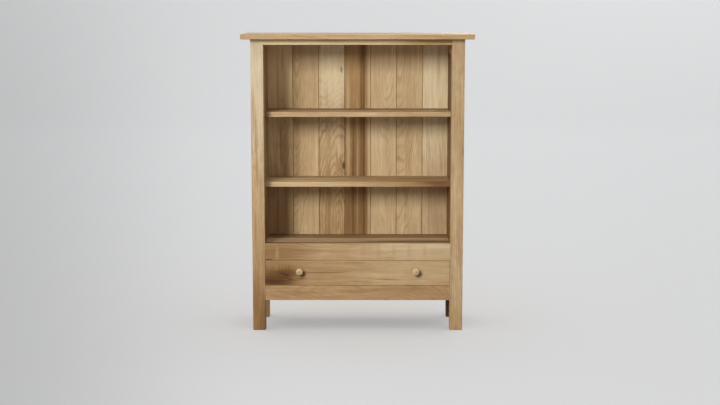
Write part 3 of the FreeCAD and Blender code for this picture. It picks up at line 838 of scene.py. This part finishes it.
def make_knobs():
    """Both knobs, polished by use."""
    for name in ("knob_left", "knob_right"):
        piece = turned_knob(name)
        timber = board(name)
        knob_face(timber)
        dressed(piece, timber.finish(POLISHED))
        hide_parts(name)
        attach(piece, "drawer")


dress_pieces()
make_knobs()


# ---------------------------------------------------------------- room

# A sweep of paper: where it starts and ends on the floor, the curve up to its wall, and how tall
# and how far to each side it goes.
FLOOR_NEAR = -14.0
FLOOR_FAR = 10.0
CURVE_RADIUS = 6.0
CURVE_STEPS = 24
WALL_TALL = 14.0
HALF_WIDTH = 20.0

# The fan of tones is painted shade: it darkens the paper towards the left.
# The paper's tones fan out from a spot in front of the bookcase, given by its Y, 9 cm from being
# straight under the camera. A bearing is how far to the right a place is for each metre that it
# lies behind that spot, as if none lay nearer than FAN_LEAST. The tones are spread from one
# bearing of FAN to the other, and the floor's give way to the wall's up to WALL_HEIGHT.
FAN_SPOT = -5.5
FAN_LEAST = 3.5
FAN = (-0.30, 0.25)
FLOOR_TONES = (0.51, 0.575, 0.705, 0.72, 0.71, 0.715, 0.70)
WALL_TONES = (0.55, 0.62, 0.725, 0.74, 0.75, 0.785, 0.775)
WALL_HEIGHT = 1.25
# how far the tones are from neutral, with less red and more blue
COOLNESS = 0.008
PLAIN_FLOOR = (0.70, 0.70, 0.70, 1.0)
DISTANT_PAPER = (0.735, 0.735, 0.735, 1.0)
# where the tones give way to the plain floor in front of the bookcase, and to distant paper
# further to the front and to the sides
FRONT_FADE = (-1.3, -2.8)
FAR_FADE = (-5.5, -13.0)
SIDE_FADE = (0.29, 0.60)
# how much light of its own the paper shows on the floor and, between two heights, up the wall,
# and how much more of it to the rear, between two places in Y
FLOOR_GLOW = 0.435
WALL_GLOW = 0.65
GLOW_HEIGHTS = (1.2, 5.0)
REAR_GLOW = 0.06
REAR_RUN = (1.0, 8.0)

SKY_LEVEL = 0.17
SKY_RISE = 0.58
SHOWN_SKY = (0.723, 0.723, 0.723, 1.0)


def sweep():
    """A floor that curves up into a wall, far enough away to walk round the bookcase."""
    profile = [(FLOOR_NEAR, 0.0), (FLOOR_FAR, 0.0)]
    for step in range(1, CURVE_STEPS + 1):
        angle = math.pi / 2 * step / CURVE_STEPS
        rise = CURVE_RADIUS * (1 - math.cos(angle))
        profile.append((FLOOR_FAR + CURVE_RADIUS * math.sin(angle), rise))
    profile.append((FLOOR_FAR + CURVE_RADIUS, WALL_TALL))
    mesh = bmesh.new()
    points = [mesh.verts.new((-HALF_WIDTH, y, z)) for y, z in profile]
    edges = [mesh.edges.new(pair) for pair in zip(points, points[1:])]
    made = bmesh.ops.extrude_edge_only(mesh, edges=edges)
    moved = [item for item in made["geom"] if isinstance(item, bmesh.types.BMVert)]
    bmesh.ops.translate(mesh, verts=moved, vec=(2 * HALF_WIDTH, 0, 0))
    return smooth_piece("floor", mesh)


def tone_ramp(tree, where, tones):
    """Cool greys spaced evenly over the range of a number, run smoothly into each other."""
    ramp = node(tree, "ShaderNodeValToRGB", {0: where})
    ramp.color_ramp.interpolation = "B_SPLINE"
    stops = ramp.color_ramp.elements
    for index in range(1, len(tones) - 1):
        stops.new(index / (len(tones) - 1))
    for stop, tone in zip(stops, tones):
        stop.color = (tone * (1 - COOLNESS), tone, tone * (1 + COOLNESS), 1.0)
    return ramp.outputs[0]


def shown_rays(tree):
    """1 for the rays that show a surface or its mirror image, 0 for those that carry light."""
    rays = node(tree, "ShaderNodeLightPath", {}).outputs
    mirrored = reckon(tree, "MAXIMUM", rays["Is Glossy Ray"], rays["Is Transmission Ray"])
    return reckon(tree, "MAXIMUM", rays["Is Camera Ray"], mirrored)


def paper_colour(tree, apart):
    """Cool greys with painted shade that darkens them to the left, and fade to one grey far from the
    bookcase.
    """
    away = reckon(tree, "SUBTRACT", apart["Y"], FAN_SPOT)
    away = reckon(tree, "MAXIMUM", away, FAN_LEAST)
    bearing = reckon(tree, "DIVIDE", apart["X"], away)
    fanned = stretch(tree, bearing, *FAN)
    height = stretch(tree, apart["Z"], 0.0, WALL_HEIGHT)
    floor = tone_ramp(tree, fanned, FLOOR_TONES)
    wall = tone_ramp(tree, fanned, WALL_TONES)
    paper = mixed(tree, height, floor, wall)
    paper = mixed(tree, stretch(tree, apart["Y"], *FRONT_FADE), paper, PLAIN_FLOOR)
    sideways = stretch(tree, reckon(tree, "ABSOLUTE", bearing), *SIDE_FADE)
    distant = reckon(tree, "MAXIMUM", sideways, stretch(tree, apart["Y"], *FAR_FADE))
    return mixed(tree, distant, paper, DISTANT_PAPER)


def paper_glow(tree, apart):
    """The light that the paper shows by itself, which falls on nothing."""
    glow = stretch(tree, apart["Z"], *GLOW_HEIGHTS, FLOOR_GLOW, WALL_GLOW)
    glow = reckon(tree, "ADD", glow, stretch(tree, apart["Y"], *REAR_RUN, 0.0, REAR_GLOW))
    return reckon(tree, "MULTIPLY", glow, shown_rays(tree))


def make_floor():
    """The sweep of paper that the bookcase stands on."""
    floor = sweep()
    material = bpy.data.materials.new("floor_paper")
    tree = cleared(material)
    apart = parts(tree, object_place(tree))
    paper = paper_colour(tree, apart)
    matt = node(tree, "ShaderNodeBsdfDiffuse", {"Color": paper}).outputs[0]
    glow = {"Color": paper, "Strength": paper_glow(tree, apart)}
    glow = node(tree, "ShaderNodeEmission", glow).outputs[0]
    both = node(tree, "ShaderNodeAddShader", {0: matt, 1: glow}).outputs[0]
    node(tree, "ShaderNodeOutputMaterial", {"Surface": both})
    floor.data.materials.append(material)
    floor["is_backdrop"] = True


def make_world():
    """A weak white sky, brighter overhead, that is shown as grey paper."""
    world = bpy.data.worlds.new("studio")
    bpy.context.scene.world = world
    tree = cleared(world)
    way = node(tree, "ShaderNodeTexCoord", {}).outputs["Generated"]
    up = reckon(tree, "MAXIMUM", parts(tree, way)["Z"], 0.0)
    strength = reckon(tree, "MULTIPLY_ADD", up, SKY_RISE, SKY_LEVEL)
    light = {"Color": (1, 1, 1, 1), "Strength": strength}
    light = node(tree, "ShaderNodeBackground", light).outputs[0]
    shown = node(tree, "ShaderNodeBackground", {"Color": SHOWN_SKY, "Strength": 1.0}).outputs[0]
    sky = node(tree, "ShaderNodeMixShader", {0: shown_rays(tree), 1: light, 2: shown}).outputs[0]
    node(tree, "ShaderNodeOutputWorld", {"Surface": sky})


# ---------------------------------------------------------------- lamps and camera

FRONT_AIM = (-0.37, -0.13, 0.86)
CASE_MIDDLE = (0.0, 0.0, 0.60)
# each lamp's way, aim, distance, width, height and power
LAMPS = {
    "key_lamp": ((0.42, 1.0, -0.375), FRONT_AIM, 7.0, 1.5, 1.95, 325.0),
    "fill_lamp": ((-0.45, 1.0, -0.28), FRONT_AIM, 9.6, 1.20, 2.4, 45.0),
    "top_lamp": ((0.0, 0.45, -0.89), CASE_MIDDLE, 6.0, 0.50, 0.50, 36.0),
    "right_lamp": ((-1.0, -0.20, -0.26), CASE_MIDDLE, 8.0, 2.2, 2.2, 300.0),
    "left_lamp": ((1.0, -0.20, -0.26), CASE_MIDDLE, 8.0, 2.2, 2.2, 160.0),
    "back_lamp": ((-0.30, -1.0, -0.30), CASE_MIDDLE, 8.0, 2.2, 2.2, 270.0),
}
VIEWPOINT = (0.00952, -5.5855, 1.3128)
# how far the camera is tipped up from looking straight down, in degrees
PITCH = 81.78
LENS = 68.62
SENSOR = 36.0


def softbox(name, way, aim, far, wide, tall, power):
    """A rectangular lamp, so far from what it is aimed at, and not seen itself."""
    data = bpy.data.lights.new(name, "AREA")
    data.shape = "RECTANGLE"
    data.size = wide
    data.size_y = tall
    data.energy = power
    lamp = bpy.data.objects.new(name, data)
    lamp.visible_camera = False
    way = Vector(way).normalized()
    lamp.location = Vector(aim) - way * far
    lamp.rotation_euler = way.to_track_quat("-Z", "Y").to_euler()
    bpy.context.scene.collection.objects.link(lamp)
    return lamp


def make_lamps():
    """A key lamp on the left of the front and others all round, which light the bookcase alone."""
    lit = bpy.data.collections.new("lit_pieces")
    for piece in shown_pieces():
        lit.objects.link(piece)
    for name, setting in LAMPS.items():
        softbox(name, *setting).light_linking.receiver_collection = lit


def make_camera():
    """The front view, from a little above the bookcase."""
    data = bpy.data.cameras.new("camera")
    data.lens = LENS
    data.sensor_width = SENSOR
    camera = bpy.data.objects.new("camera", data)
    camera.location = VIEWPOINT
    camera.rotation_euler = (math.radians(PITCH), 0.0, 0.0)
    bpy.context.scene.collection.objects.link(camera)
    bpy.context.scene.camera = camera


make_floor()
make_world()
make_lamps()
make_camera()
bpy.context.scene.view_settings.view_transform = "Standard"
